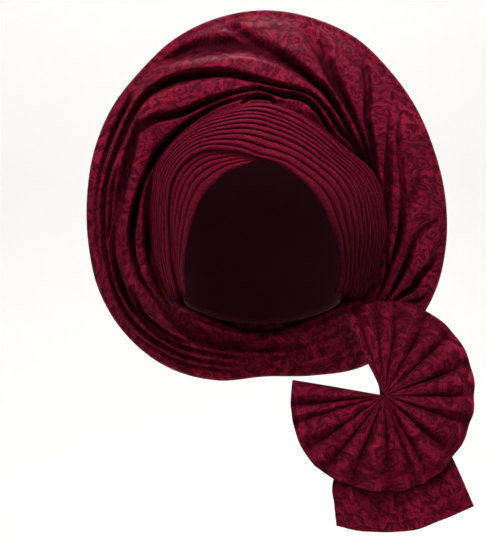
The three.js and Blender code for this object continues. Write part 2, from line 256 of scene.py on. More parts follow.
# How high one pleat's roll stands at a share of its width: nearly flat on top, with steep, round sides
# down to the grooves, and a little higher at its folded edge, which lies toward the opening.
def rollHeight(share):
    roll = (1 - np.abs(2 * share - 1) ** brow["squareness"]) ** brow["sideRound"]
    return roll * (1 + brow["foldedEdge"] * (1 - share))


def pleatedBand(name, first, steps, edges, place):
    at = np.linspace(first, brow["end"], steps + 1)[:, None]
    pleats = len(edges) - 2
    across = (np.arange(pleats * brow["perPleat"] + 1) / brow["perPleat"])[None, :]
    pleat = np.minimum(across.astype(int), pleats - 1)
    within = across - pleat
    lines = np.stack([read(edges, f"edge{i}", at[:, 0]) for i in range(pleats + 1)], 1)
    low = np.take_along_axis(lines, np.broadcast_to(pleat, (steps + 1, pleat.shape[1])), 1)
    high = np.take_along_axis(lines, np.broadcast_to(pleat + 1, (steps + 1, pleat.shape[1])), 1)
    at = np.broadcast_to(at, low.shape)
    wobble = sum(size * np.sin(at * along + pleat * step) for size, along, step in brow["wobbles"])
    ends = place(at, low, 0 * at), place(at, high, 0 * at)
    width = np.linalg.norm(ends[1] - ends[0], axis=-1)
    stand = np.minimum(brow["pleatHeight"], brow["pleatSteepness"] * width)
    points = place(at, mix(low, high, within), stand * rollHeight(within) * (1 + wobble))
    lengthwise = arc(points, 0)[:, points.shape[1] // 2][:, None]
    crosswise = arc(points, 1) + brow["hiddenPerPleat"] * pleat
    flat = np.stack([np.broadcast_to(lengthwise, low.shape), crosswise], -1)
    # Painted shade in the grooves between the pleats, on the band's sides and at its ends.
    paintedGrooveShade = brow["grooveShade"] * np.abs(2 * within - 1) ** brow["groovePower"]
    shades = [depth * smooth((at - start) / (full - start)) for depth, start, full in brow["shades"]]
    paintedShade = 1 - (1 - paintedGrooveShade) * (1 - np.max(shades, axis=0))
    return layCloth(name, points, flat, paintedShade, brow["thickness"], figure=brow["figure"])


def placeOver(at, within, height):
    under = np.maximum(0, read(browSections, "over", at))
    crossing = brow["crossLift"] * smooth((at - brow["crossFrom"]) / brow["crossOver"])
    return browPoint(at, mix(under, 1, within), height + crossing * (1 - within))


def placeUnder(at, within, height):
    reach = brow["underTuck"] + np.maximum(0, read(browSections, "over", at))
    hidden = smooth((brow["hiddenTo"] - at) / brow["hiddenOver"])
    return browPoint(at, within * reach, mix(brow["underHeight"] * height, -brow["hiddenDepth"], hidden))


# The halo: a row for each section by its angle in the front view, 0 at +X and 90 at the top.
# rim is the outer edge, inner the valley beside the brow band, and crest the first roll beside it.
halo = {
    "thickness": 1.4,
    "centreX": 4,
    "centreZ": -49,
    "columns": 460,
    "columnShare": [0, 0.05, 0.46, 0.93, 1],  # closer together where the folds run outwards
    "columnAngle": [-90, -50, 62, 240, 270],
    "tuckRows": 5,
    "foldRows": 88,
    "rimRows": 9,
    "rimRadius": 5.2,
    "rimTurn": 75,  # how far round, in degrees past the outermost, the rim is rolled to the back
    "dish": 1.7,  # 1 is a straight cone from the crest to the rim, and more is flatter at first
    "crestWidth": 0.07,  # share of the width that the first roll takes to rise out of the valley
    "foldScale": 1.1,
    "grownAtWrap": 0.3,  # the folds start part grown beside the wrap,
    "growOver": 0.06,  # are full after about this share of the width,
    "fadeFrom": 0.86,  # and fade from here to a plain rim
    "fadeOver": 0.13,
    "wrinkle": 0.7,
    "wrinkleTurns": [(34, 0.11), (6, 0.055)],  # from the wrap to the rim, and for each degree round
    "lightTo": 1.2,  # down to this depth a valley shows the cloth's own colour, without painted shade
    "darkAt": 19,  # and this much deeper its painted shade is at its darkest
    "clothRadius": 160,  # the radius at which the cloth lies unstretched round the halo
}
haloSections = table(
    ["angle", "rimR", "rimY", "innerR", "innerY", "crestY"],
    [
        [-105, 190, 73, 135, 72, 66],
        [-90, 180, 78, 137, 78, 72],
        [-75, 185, 73, 133, 70, 65],
        [-60, 195, 60, 133, 52, 46],
        [-45, 196, 43, 139, 24, 17],
        [-30, 191, 30, 128, 14, 5],
        [-15, 182, 21, 117, 5, -6],
        [0, 174, 15, 108, -2, -12],
        [15, 169, 13, 98, -9, -20],
        [30, 168.5, 12, 84, -26, -35],
        [45, 170, 10, 80, -37, -45],
        [60, 175, 9, 78, -45, -51],
        [75, 177, 8.5, 77, -50, -54],
        [90, 178.5, 8, 80, -52, -55],
        [105, 177.5, 8.5, 81.5, -53, -55],
        [120, 175, 9, 84, -51, -53],
        [135, 171, 10.5, 91, -43, -47],
        [150, 171.5, 12, 99, -32, -37],
        [165, 172, 14, 108, -18, -27],
        [180, 173.5, 16, 110, -8, -19],
        [195, 179, 22, 113, 0, -11],
        [210, 188, 32, 125, 9, 1],
        [225, 194, 45, 138, 22, 16],
        [240, 195.5, 60, 136, 52, 45],
        [255, 190, 73, 135, 72, 66],
        [270, 180, 78, 137, 78, 72],
        [285, 185, 73, 133, 70, 65],
    ],
)
# The valleys between the folds, as they lie in the front view. floor is half the width of a valley's flat
# bottom, and outer and inner are how far it reaches on the right and on the left of the way it runs. All
# but bottomFold run from the wearer's left over the top and down the right, or up from the sash, so that
# outer is toward the rim. crisp is how sharp the edge on the outer side is, from 0 for a soft roll to 1
# for an edge that the cloth drops from.
foldColumns = ["order", "x", "z", "depth", "floor", "outer", "inner"]
haloFolds = {
    "upperShade": {"crisp": 0.1, "rows": [
        [105, -28, 7, 0.2, 3, 3], [92, -8, 12, 0.6, 3, 3], [84, 5, 13, 0.6, 3, 3], [75, 20, 15, 0.7, 4, 3],
        [60, 44, 16, 1.2, 5, 5], [52, 52, 16, 1.3, 5, 6], [31, 68, 15, 1.4, 8, 8],
        [10, 81, 14, 1.8, 11, 10], [-15, 90, 13, 2, 13, 13], [-48, 91, 13, 2.2, 12, 15],
        [-80, 86, 12, 1.7, 10, 14], [-106, 77, 12, 1.2, 7, 7], [-123, 59, 12, 0.9, 6, 4],
        [-130, 38, 13, 0.8, 5, 4], [-144, 9, 13, 0.9, 5, 3], [-154, -22, 11, 0.7, 4, 2.5],
        [-160, -49, 10, 0.6, 4, 2.5], [-162, -77, 10, 0.6, 4, 2.5], [-157, -121, 8, 0.5, 3, 2.5],
        [-151, -147, 9, 0.6, 3, 3], [-126, -185, 8, 0.6, 3, 3], [-79, -214, 7, 0.6, 3, 3],
        [-26, -224, 2, 0.3, 3, 3]]},
    "deepFold": {"crisp": 0.7, "rows": [
        [98, -24, 7, 0.2, 2, 2], [82, 1, 13, 0.6, 3, 3], [74, 8, 14, 1, 3, 3], [58, 29, 11, 0.5, 3, 3],
        [42, 43, 11, 0.5, 3, 2.5], [16, 49, 11, 0.5, 4, 2.5], [-12, 56, 12, 0.8, 5, 4],
        [-35, 62, 14, 1.3, 5, 7], [-60, 62, 15, 1.6, 5, 9], [-85, 58, 15, 1.6, 5, 10],
        [-107, 48, 14, 1.4, 4, 8], [-120, 32, 13, 1.1, 4, 4], [-131, 10, 12, 0.7, 4, 4],
        [-144, -20, 11, 0.6, 3, 3], [-152, -49, 11, 0.7, 2.5, 3], [-153, -78, 10, 0.7, 2.5, 3],
        [-151, -107, 8, 0.6, 3, 3], [-141, -147, 9, 0.7, 3, 3], [-117, -181, 9, 0.7, 3, 3],
        [-75, -207, 8, 0.6, 3, 3], [-23, -216, 2, 0.3, 3, 3]]},
    "sidePanel": {"crisp": 0, "rows": [
        [-117, 17, 9, 0.8, 4, 4], [-123, -3, 12, 2.4, 4, 4], [-129, -25, 13, 2.8, 4, 4],
        [-135, -51, 11, 1.6, 4, 5], [-139, -71, 6, 0.6, 5, 5], [-144, -102, 10, 0.6, 4, 4],
        [-137, -134, 14, 1.4, 4, 4], [-122, -163, 11, 0.9, 3, 3], [-90, -192, 9, 0.8, 3, 3],
        [-51, -204, 6, 0.4, 3, 3], [-23, -208, 2, 0.3, 3, 3]]},
    "panelLine": {"crisp": 0.1, "rows": [
        [-137, -22, 2, 0.2, 2, 2], [-143, -42, 7, 0.4, 2.5, 2.5], [-145, -62, 8, 0.4, 2.5, 2.5],
        [-147, -84, 8, 0.4, 2.5, 2.5], [-149, -96, 2, 0.2, 2, 2]]},
    "pocketFold": {"crisp": 0.5, "rows": [
        [67, 0, 5, 0.3, 2, 2], [54, 22, 12, 1.1, 2, 2], [39, 37, 14, 1.7, 3, 3], [16, 41, 13, 1.1, 3, 3],
        [-4, 46, 10, 0.4, 3, 2.5], [-28, 42, 12, 0.6, 3, 3], [-53, 34, 15, 1.4, 3, 3],
        [-77, 25, 15, 1.8, 3, 4], [-102, 21, 12, 2.2, 4, 5], [-116, 11, 8, 1.7, 4, 5]]},
    "ovalPocket": {"crisp": 0.3, "rows": [
        [12, 33, 5, 0.3, 2, 2], [4, 38, 12, 1.2, 2, 2], [-10, 38, 12, 1.2, 2, 2], [-18, 33, 6, 0.4, 2, 2]]},
    "innerFold": {"crisp": 0.5, "rows": [
        [-12, 39, 4, 0.2, 2, 2], [-38, 32, 12, 0.6, 2.5, 2], [-60, 21, 14, 0.7, 3, 2.5],
        [-78, 9, 16, 1, 3, 3], [-97, -8, 17, 1.9, 3, 3], [-109, -29, 14, 0.8, 3, 3],
        [-116, -45, 16, 1.1, 3, 3], [-121, -64, 18, 1.8, 3, 3], [-125, -88, 18, 1.9, 3, 3],
        [-123, -110, 14, 1.1, 3, 3], [-116, -130, 9, 0.6, 3, 3], [-102, -150, 4, 0.3, 3, 3]]},
    "slotFold": {"crisp": 0.4, "rows": [
        [-70, 3, 4, 0.2, 2, 2], [-91, -18, 9, 0.4, 2, 2], [-102, -34, 14, 1.3, 2.5, 2.5],
        [-108, -53, 10, 0.6, 3, 2], [-110, -75, 13, 0.9, 3, 2.5], [-110, -95, 17, 1.8, 3, 3],
        [-109, -113, 12, 0.8, 3, 3], [-102, -134, 9, 0.6, 3, 3], [-91, -154, 6, 0.3, 3, 3]]},
    "bottomFold": {"crisp": 0, "rows": [
        [39, -197, 3, 1.7, 9, 6], [-29, -195, 7, 2.8, 10, 6], [-68, -182, 10, 3.3, 11, 6],
        [-93, -158, 7, 1.7, 9, 5], [-101, -148, 4, 0.6, 6, 5]]},
    "lowerLeft": {"crisp": 0.1, "rows": [
        [-128, -137, 4, 0.3, 3, 3], [-121, -152, 13, 0.9, 3, 3], [-116, -164, 14, 1.2, 3, 3],
        [-94, -183, 9, 0.8, 3, 3], [-79, -191, 6, 0.6, 3, 3]]},
    "rimLine": {"crisp": 0.1, "rows": [
        [-170, -74, 2, 0.2, 2.5, 2.5], [-165, -113, 5, 0.3, 2.5, 2.5], [-150, -157, 5, 0.3, 2.5, 2.5],
        [-116, -197, 5, 0.3, 2.5, 2.5], [-65, -220, 2, 0.2, 2.5, 2.5]]},
    "topCrease": {"crisp": 0, "rows": [
        [0, 89, 6, 0.6, 5, 5], [-16, 100, 11, 1.3, 9, 7], [-35, 115, 4, 0.6, 7, 6]]},
    "rightShadeA": {"crisp": 0.4, "rows": [
        [108, -42, 4, 0.2, 2, 2], [102, -19, 12, 0.6, 3, 3], [92, 7, 11, 0.6, 3, 3],
        [79, 34, 14, 1.2, 5, 4], [66, 58, 14, 1.9, 8, 6], [54, 85, 11, 1.7, 10, 8],
        [42, 111, 4, 1.1, 8, 8]]},
    "rightShadeB": {"crisp": 0.1, "rows": [
        [102, -135, 7, 0.3, 3, 2.5], [110, -107, 9, 0.4, 3, 2.5], [111, -64, 9, 0.4, 3, 2.5],
        [109, -36, 11, 0.7, 3, 3], [102, 6, 13, 1, 4, 4], [99, 20, 13, 1, 4, 4], [100, 50, 11, 1.2, 5, 6],
        [96, 95, 3, 0.6, 6, 6]]},
    "gatherA": {"crisp": 0.1, "rows": [
        [113, -150, 7, 0.3, 3, 3], [122, -123, 12, 0.7, 3.5, 3.5], [119, -102, 8, 0.4, 3, 3],
        [120, -77, 11, 0.8, 4, 3], [120, -45, 12, 1.2, 4, 4], [120, -9, 9, 1.2, 5, 4],
        [124, 42, 2, 0.3, 5, 5]]},
    "gatherB": {"crisp": 0.1, "rows": [
        [123, -121, 8, 0.4, 2.5, 2.5], [130, -101, 14, 1.4, 3, 3], [134, -81, 13, 1.4, 4, 4],
        [135, -57, 9, 0.9, 4, 4], [133, -28, 6, 0.4, 4, 4], [130, 3, 8, 0.6, 4, 4],
        [134, 29, 2, 0.3, 4, 4]]},
    "gatherC": {"crisp": 0.1, "rows": [
        [121, -151, 5, 0.3, 2, 2], [132, -133, 13, 1, 3, 3], [141, -111, 11, 1.2, 5, 4],
        [149, -90, 7, 1, 5, 5], [165, -75, 5, 1, 6, 6], [176, -75, 2, 0.6, 6, 6]]},
    "gatherD": {"crisp": 0.1, "rows": [
        [125, -153, 4, 0.2, 2, 2], [139, -144, 12, 1, 3, 4], [148, -138, 13, 1.2, 4, 4],
        [153, -128, 12, 1.3, 5, 5], [169, -111, 7, 1.2, 6, 6], [178, -107, 2, 0.6, 5, 5]]},
    "gatherE": {"crisp": 0.1, "rows": [
        [139, -151, 3, 0.2, 2, 2], [155, -150, 8, 0.6, 3, 3], [169, -135, 2, 0.3, 4, 4]]},
    "rosePatch": {"crisp": 0, "rows": [
        [142, -67, 3, 0.8, 5, 5], [147, -49, 6, 1.7, 6, 6], [155, -21, 2, 0.6, 5, 5]]},
}


def onDisc(angle, radius):
    turn = np.radians(angle)
    return halo["centreX"] + radius * np.cos(turn), halo["centreZ"] + radius * np.sin(turn)


def nearestOnLine(lineX, lineZ, x, z):  # distance, side (over 0 on the right) and share along the line
    nearest = np.full(x.shape, 1e9)
    side = np.zeros(x.shape)
    share = np.zeros(x.shape)
    for i in range(len(lineX) - 1):
        alongX = lineX[i + 1] - lineX[i]
        alongZ = lineZ[i + 1] - lineZ[i]
        length = alongX**2 + alongZ**2
        t = np.clip(((x - lineX[i]) * alongX + (z - lineZ[i]) * alongZ) / length, 0, 1)
        offX = x - lineX[i] - t * alongX
        offZ = z - lineZ[i] - t * alongZ
        off = offX**2 + offZ**2
        nearer = off < nearest
        nearest = np.where(nearer, off, nearest)
        side = np.where(nearer, offX * alongZ - offZ * alongX, side)
        share = np.where(nearer, (i + t) / (len(lineX) - 1), share)
    return np.sqrt(nearest), side, share


foldShape = {
    "linePoints": 5,  # for each row above
    "softPower": 1.7,  # a soft fold's sides, steeper with more
    "edgeFlat": 2.2,  # a crisp edge stays flat and then drops
    "edgePower": 1.6,
    "flatFrom": 3,  # half the width from which a valley's bottom is round at its sides
}


# How far the folds sink the cloth back at a place in the front view. Where two meet, the deeper wins.
def foldDepth(x, z):
    total = np.zeros(x.shape)
    for fold in haloFolds.values():
        rows = fold["rows"]
        line = table(foldColumns, [[i] + row for i, row in enumerate(rows)])
        order = np.linspace(0, len(rows) - 1, foldShape["linePoints"] * len(rows))
        off, side, share = nearestOnLine(read(line, "x", order), read(line, "z", order), x, z)
        at = share * (len(rows) - 1)
        reach = np.where(side > 0, read(line, "outer", at), read(line, "inner", at))
        out = np.clip((off - read(line, "floor", at)) / reach, 0, 1)
        flatness = np.clip(read(line, "floor", at) / foldShape["flatFrom"], 0, 1)
        soft = mix((1 - out) ** foldShape["softPower"], 1 - smooth(out), flatness)
        edged = (1 - out ** foldShape["edgeFlat"]) ** foldShape["edgePower"]
        total += (read(line, "depth", at) * np.where(side > 0, mix(soft, edged, fold["crisp"]), soft)) ** 3
    return np.cbrt(total)


# The slanting line round the wrap where the halo starts: the search goes outwards from inside it.
attach = {
    "topY": -44,
    "topZ": -3,
    "bottomY": 72,
    "bottomZ": -172,
    "off": 3.5,
    "backBehind": 14,  # the cover meets the wrap this much further back
    "searchFrom": 30,
    "searchTo": 190,
    "searchStep": 0.25,
}


def attachLine(angle, further=0):
    slope = (attach["bottomY"] - attach["topY"]) / (attach["bottomZ"] - attach["topZ"])
    radius = np.arange(attach["searchFrom"], attach["searchTo"], attach["searchStep"])[:, None]
    x, z = onDisc(angle[None, :], radius)
    y = attach["topY"] + slope * (z - attach["topZ"]) + further
    first = np.argmax(outsideForm(x, y, z, attach["off"]), axis=0)
    each = np.arange(len(angle))
    return np.stack([x[first, each], y[first, each], z[first, each]], -1)


def haloFront():
    angle = np.interp(np.linspace(0, 1, halo["columns"] + 1), halo["columnShare"], halo["columnAngle"])
    s = readAll(haloSections, angle)
    share = np.linspace(0, 1, halo["foldRows"])[:, None]
    rim = halo["rimRadius"]
    radius = mix(s["innerR"], s["rimR"] - rim, share)
    x, z = onDisc(angle, radius)
    beside = np.exp(-((share / halo["crestWidth"]) ** 2))
    grown = smooth(halo["grownAtWrap"] + share / halo["growOver"])
    folded = (1 - smooth((share - halo["fadeFrom"]) / halo["fadeOver"])) * grown
    sink = halo["foldScale"] * foldDepth(x, z) * folded
    y = mix(s["crestY"], s["rimY"] - rim, share ** halo["dish"]) + (s["innerY"] - s["crestY"]) * beside
    waves = [np.sin(share * outwards + angle * perDegree) for outwards, perDegree in halo["wrinkleTurns"]]
    y = y + sink + halo["wrinkle"] * waves[0] * waves[1] * folded
    body = np.stack([x, y, z], -1)
    start = attachLine(angle)
    tucked = mix(start, body[0], np.linspace(0, 1, halo["tuckRows"], endpoint=False)[:, None, None])
    turn = np.radians(np.linspace(-90, halo["rimTurn"], halo["rimRows"] + 1)[1:])[:, None]
    rimX, rimZ = onDisc(angle, s["rimR"] - rim + rim * np.cos(turn))
    rolled = np.stack([rimX, s["rimY"] + rim * np.sin(turn) + 0 * rimX, rimZ], -1)
    points = np.concatenate([tucked, body, rolled])
    flat = spread(np.radians(angle) * halo["clothRadius"], points)
    # Painted shade: darker the deeper the folds sink the cloth, and full on the part tucked in beside the
    # wrap.
    paintedShade = np.zeros(points.shape[:2])
    paintedShade[halo["tuckRows"] : -halo["rimRows"]] = smooth((sink - halo["lightTo"]) / halo["darkAt"])
    paintedShade[: halo["tuckRows"]] = 1
    return layCloth("halo_front_folds", points, flat, paintedShade, halo["thickness"],
                    joined=True, turned=True)


# The halo's back: a shallow cone in soft pleats, from inside the rolled rim in to the wrap.
cover = {
    "columns": 360,
    "rows": 60,
    "edgeRows": 3,
    "edgeIn": 4.2,  # from the rim's radius to the cover's turned edge, and on to its seam
    "edgeBehind": 3.4,
    "seamIn": 8.5,
    "seamBehind": 5.4,
    "bulge": 5.5,
    "pleats": 48,
    "pleatHeight": 4.5,
    "pleatGrow": 1.5,
    "unevenBy": 1.2,
    "unevenWaves": 5,
}


def haloBack():
    angle = np.linspace(-90, 270, cover["columns"] + 1)
    s = readAll(haloSections, angle)
    edgeX, edgeZ = onDisc(angle, s["rimR"] - cover["edgeIn"])
    seamX, seamZ = onDisc(angle, s["rimR"] - cover["seamIn"])
    edge = np.stack([edgeX, s["rimY"] + cover["edgeBehind"], edgeZ], -1)
    seam = np.stack([seamX, s["rimY"] + cover["seamBehind"], seamZ], -1)
    share = np.linspace(0, 1, cover["rows"])[:, None]
    points = mix(seam, attachLine(angle, attach["backBehind"]), share[..., None])
    uneven = cover["unevenBy"] * np.sin(np.radians(angle * cover["unevenWaves"]))
    pleat = np.abs(np.sin(np.radians(angle * cover["pleats"] / 2) + uneven))
    stand = cover["pleatHeight"] * pleat * smooth(share * cover["pleatGrow"])
    points[..., 1] += (cover["bulge"] + stand) * np.sin(np.pi * share)
    turned = mix(edge, seam, np.linspace(0, 1, cover["edgeRows"], endpoint=False)[:, None, None])
    points = np.concatenate([turned, points])
    flat = spread(np.radians(angle) * halo["clothRadius"], points)
    return layCloth("halo_back_cover", points, flat, 0.0, halo["thickness"],
                    joined=True, turned=True)


# The fan: pleats round its centre, with a wedge left open at the upper left.
fan = {
    "thickness": 1.3,
    "x": 113.5,
    "z": -238,
    "frontY": -36,
    "lean": 0.36,
    "startAngle": 116,
    "rings": 84,
    "firstRing": 0.02,
    "ringPower": 1.25,  # rings closer together toward the centre
    "hole": 0.004,
    "perPleat": 24,
    "steepness": 0.5,  # a pleat's height as a share of its width
    "height": 11.5,
    "rimLower": 3.5,  # how much lower the pleats get toward the rim
    "lowerFrom": 0.55,
    "ridgeFlat": 2.4,
    "ridgePower": 0.8,
    "softFrom": 0.45,  # outwards from this share of the radius the ridges open into soft waves
    "softPower": 1.6,
    "smallFold": 0.9,  # height and number of the small waves on each pleat, toward the centre
    "smallWaves": 3,
    "smallGrow": 3,
    "raised": 6,  # how far the gathered centre stands forward
    "knot": 1.5,  # and its tight middle, further still
    "knotSize": 0.05,
    "setBack": 4.2,  # of the pleats behind the gathered centre
    "setBackGrow": 1.6,
    "clothPerPleat": 18.7,  # width of cloth taken up by one pleat
    "shade": 0.12,  # painted shade all over the fan, and more in its valleys
    "valleyShade": 0.83,
    "valleyPower": 1.7,
    "rimLight": 0.6,  # share of that shade lost toward the rim, where the valleys open
    "lightFrom": 0.35,
}
fanRim = table(
    ["turned", "radius"],
    [[0, 83], [30, 87], [66, 89], [90, 88], [120, 84.5], [150, 83], [180, 85], [220, 86], [258, 91],
     [285, 88], [305, 86]],
)
# The angle of each valley, turned clockwise from the fan's first edge.
fanValleys = [0, 9, 23, 38, 59, 76, 98, 117, 135, 158, 178, 187, 204, 228, 245, 261, 279, 289, 305]


def fanFace(z):
    return fan["frontY"] + fan["lean"] * (z - fan["z"])


def outerPart(ring, start):
    return smooth((ring - start) / (1 - start))


def fanRosette():
    pleats = len(fanValleys) - 1
    place = np.arange(pleats * fan["perPleat"] + 1) / fan["perPleat"]
    pleat = np.minimum(place.astype(int), pleats - 1)
    within = place - pleat
    valleys = np.array(fanValleys, float)
    turned = mix(valleys[pleat], valleys[pleat + 1], within)
    width = np.radians(valleys[pleat + 1] - valleys[pleat])
    ring = np.linspace(fan["firstRing"], 1, fan["rings"])[:, None] ** fan["ringPower"]
    ring = mix(fan["hole"], 1, ring)
    radius = read(fanRim, "radius", turned) * ring
    angle = np.radians(fan["startAngle"] - turned)
    x = fan["x"] + radius * np.cos(angle)
    z = fan["z"] + radius * np.sin(angle)
    ridge = (1 - np.abs(2 * within - 1) ** fan["ridgeFlat"]) ** fan["ridgePower"]
    soft = np.sin(np.pi * within) ** fan["softPower"]
    shape = mix(ridge, soft, outerPart(ring, fan["softFrom"]))
    tallest = fan["height"] - fan["rimLower"] * outerPart(ring, fan["lowerFrom"])
    height = np.minimum(fan["steepness"] * radius * width, tallest)
    small = fan["smallFold"] * np.sin(fan["smallWaves"] * np.pi * within + pleat)
    small = small * smooth(ring * fan["smallGrow"]) * (1 - ring)
    centre = fan["raised"] * (1 - ring) ** 2 + fan["knot"] * np.exp(-((ring / fan["knotSize"]) ** 2))
    base = fanFace(z) + fan["setBack"] * smooth(ring * fan["setBackGrow"])
    points = np.stack([x, base - centre - height * shape - small, z], -1)
    flat = spread((pleat + within) * fan["clothPerPleat"], points)
    # Painted shade, all over the fan and deepest in its valleys, less toward the rim.
    opened = 1 - fan["rimLight"] * outerPart(ring, fan["lightFrom"])
    paintedFanShade = fan["shade"] + fan["valleyShade"] * (1 - shape) ** fan["valleyPower"] * opened
    return layCloth("fan_rosette_pleats", points, flat, paintedFanShade, fan["thickness"])


# The tail: a sash from the gathers on the halo, down behind the fan, to a flared end below it.
tail = {
    "thickness": 1.3,
    "columns": 110,
    "rows": 150,
    "frontY": -57,
    "flareFrom": 3.5,  # a place along the sash is given by its row in the table below
    "flareOver": 2.5,
    "bow": 14,  # how much lower the end hangs in its middle
    "bowFrom": 5,
    "bowOver": 2,
    "gather": 2.4,  # half the depth of the gathers, and their number
    "gathers": 7,
    "hang": 2.4,  # and of the waves in the flared end, two to each fold
    "hangWaves": 5,
    "hangStart": 0.4,
    "smallHang": 0.9,
    "smallWaves": 9,
    "width": 150,  # of the cloth
    "shade": 0.8,  # painted shadow behind the fan, out to this far from its centre
    "shadeTo": 84,
    "shadeEdge": 14,
}
tailSections = table(
    ["order", "leftX", "leftZ", "rightX", "rightZ", "off"],
    [
        [0, 96, -157, 128, -149, 26],
        [1, 98, -178, 134, -174, 17],
        [2, 105, -212, 140, -214, 8.3],
        [3, 110, -244, 150, -247, 8.3],
        [4, 82, -280, 164, -272, 8.3],
        [5, 65, -316, 176, -296, 8.3],
        [6, 66, -338, 185, -317, 8.3],
        [7, 68, -357, 194, -338, 8.3],
    ],
)


def fanTail():
    order = np.linspace(0, len(tailSections["order"]) - 1, tail["rows"])[:, None]
    share = np.linspace(0, 1, tail["columns"])[None, :]
    s = readAll(tailSections, order)
    flared = smooth((order - tail["flareFrom"]) / tail["flareOver"])
    bow = tail["bow"] * np.sin(np.pi * share) * smooth((order - tail["bowFrom"]) / tail["bowOver"])
    x = mix(s["leftX"], s["rightX"], share)
    z = mix(s["leftZ"], s["rightZ"], share) - bow
    y = np.maximum(fanFace(z) + s["off"], tail["frontY"])
    gathered = tail["gather"] * np.cos(2 * np.pi * tail["gathers"] * share)
    hanging = tail["hang"] * np.cos(tail["hangWaves"] * np.pi * share + tail["hangStart"])
    hanging = hanging + tail["smallHang"] * np.sin(tail["smallWaves"] * np.pi * share + order)
    points = np.stack([x, y + mix(gathered, hanging, flared), z], -1)
    flat = spread(share * tail["width"], points)
    # The fan's shadow, painted on the sash round the fan's centre.
    off = np.hypot(x - fan["x"], z - fan["z"])
    paintedFanShadow = tail["shade"] * (1 - smooth((off - tail["shadeTo"]) / tail["shadeEdge"]))
    return layCloth("fan_tail_sash", points, flat, paintedFanShadow, tail["thickness"])


# The head wrap: from the crown down to just short of the pleats' edge in front, and lower behind. An
# azimuth of 0 is the middle of the front, and of 180 the middle of the back.
wrap = {
    "thickness": 2,
    "around": 240,
    "down": 60,
    "rowPower": 2.2,  # rows closer together at the crown
    "behindEdge": 6,
    "edgePoints": 191,
    "searchFrom": -4,
    "searchTo": -180,
    "searchStep": -0.5,
    "sideAzimuth": 88,
    "clothRadius": 90,  # the radius at which the cloth lies unstretched round the form
}
hemSections = table(
    ["azimuth", "z"],
    [[0, -148], [60, -148], [75, -148], [90, -152], [120, -162], [150, -172], [180, -176]],
)


def headWrap():
    turn = np.linspace(0, 360, wrap["around"] + 1)
    away = np.where(turn > 180, 360 - turn, turn)
    lowest = read(hemSections, "z", away)
    edge = readAll(browSections, np.linspace(0, brow["end"], wrap["edgePoints"]))
    heights = np.arange(wrap["searchFrom"], wrap["searchTo"], wrap["searchStep"])
    azimuth = np.radians(turn)
    halfWidth, halfDepth = formSection(heights, wrap["thickness"])
    for i in range(len(turn)):
        x = halfWidth * np.sin(azimuth[i])
        off = np.hypot(x[:, None] - edge["innerX"], heights[:, None] - edge["innerZ"]).min(1)
        met = np.nonzero((off < wrap["behindEdge"]) & (heights > lowest[i]))[0]
        if away[i] < wrap["sideAzimuth"] and len(met):
            lowest[i] = heights[met].max()
    share = np.linspace(0, 1, wrap["down"])[:, None]
    z = mix(wrap["thickness"], lowest, share ** wrap["rowPower"])
    halfWidth, halfDepth = formSection(z, wrap["thickness"])
    points = np.stack([halfWidth * np.sin(azimuth), -halfDepth * np.cos(azimuth), z], -1)
    flat = spread(azimuth * wrap["clothRadius"], points)
    return layCloth("head_wrap_lining", points, flat, 0.0, wrap["thickness"], joined=True)


def addNode(tree, kind, inputs, output=0, **settings):  # a value or a link for each input
    node = tree.nodes.new("ShaderNode" + kind)
    for name, value in settings.items():
        setattr(node, name, value)
    for name, value in inputs.items():
        if isinstance(value, bpy.types.NodeSocket):
            tree.links.new(value, node.inputs[name])
        else:
            node.inputs[name].default_value = value
    return node if output is None else node.outputs[output]


def newMaterial(name):
    material = bpy.data.materials.new(name)
    material.use_nodes = True
    material.node_tree.nodes.clear()
    return material, material.node_tree


# Rayon damask: a satin figure of roses and scrolled leaves, woven on a duller ground, all in wine. The
# figure shows as broken crimson with paler veins and thin dark outlines, with painted highlights in
# patches where the satin catches the light, and the ground as a soft, darker red, with painted shade that
# goes nearly black down in the folds.
damask = {
    "ground": "#4a0a19",
    "satin": "#6e1128",
    "gleam": "#8c1832",  # painted highlight on satin where it happens to catch the light
    "vein": "#9a2c46",
    "outline": "#2a0510",  # round the leaves and the petals
    # painted shade down in the folds, the darkest that the colour goes
    "paintedFoldShade": "#1d0409",
    "tint": "#cc3a5e",  # of the little light that it mirrors
    "repeatMm": 32,  # from one rose to the next
    "uneven": 0.55,  # 0 sets the roses out in squares
    "driftMm": 40,  # size and strength of the bends in the whole figure
    "driftByMm": 12,
    "roseMm": 10.5,
    "roseEdgeMm": 0.8,
    "petalMm": 4,  # from one ring of petals to the next
    "petalLobes": 5,
    "lobeDepth": 0.06,
    "scrolls": 4,  # round each rose
    "scrollWind": 6,
    "leafMm": 9.09,  # size of the bends that pinch the scrolls into leaves
    "leafBend": 6,
    "tendrilMm": 13.333,
    "tendrilLines": 40,
    "patchMm": 55.6,  # of satin with a painted highlight where it catches the light
    "grainMm": 2.6,  # clusters of threads, drawn coarse: the threads lie 0.2 mm apart, too fine to show
    "plainSatin": 0.85,  # how much of the satin's colour shows where the figure is folded away
    "veinShows": 0.35,
    "satinRoughness": 0.45,
    "groundRoughness": 0.6,
    "foldRoughness": 0.85,
    "specular": 0.1,
    "reliefMm": 0.3,
}


